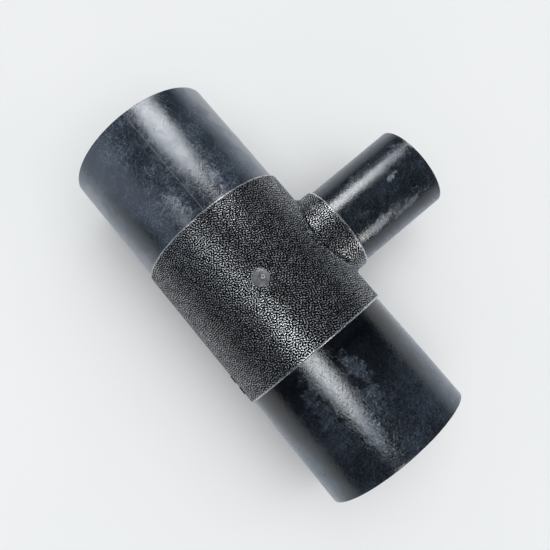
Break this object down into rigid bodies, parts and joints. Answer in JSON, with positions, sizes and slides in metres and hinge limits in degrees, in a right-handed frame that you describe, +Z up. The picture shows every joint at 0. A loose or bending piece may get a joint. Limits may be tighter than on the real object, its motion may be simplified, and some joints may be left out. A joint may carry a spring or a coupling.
{
  "type": "polyethylene reducing tee",
  "caption": "Black polyethylene reducing tee for butt fusion: straight run with equal plain ends, textured barrel and a smaller plain branch at right angles.",
  "frame": {"origin": "crossing of the run axis and the branch axis, at the centre of the barrel", "axes": "+Y along the run axis, +X along the branch axis towards its open end, +Z up through the injection point, square to both"},
  "size_m": [0.1576, 0.226, 0.0926],
  "materials": {
    "textured_pe": "black polyethylene with a fine moulded worm grain",
    "smooth_pe": "smooth black polyethylene, lightly scuffed and hazed"
  },
  "bodies": {
    "root": {"barrel": "textured_pe", "branch_collar": "textured_pe", "run_spigot_a": "smooth_pe", "run_spigot_b": "smooth_pe", "branch_spigot": "smooth_pe", "gate_disc": "smooth_pe", "gate_nub": "smooth_pe", "parting_ridge_a": "smooth_pe", "parting_ridge_b": "smooth_pe", "marking_bars": "smooth_pe"}
  },
  "joints": []
}
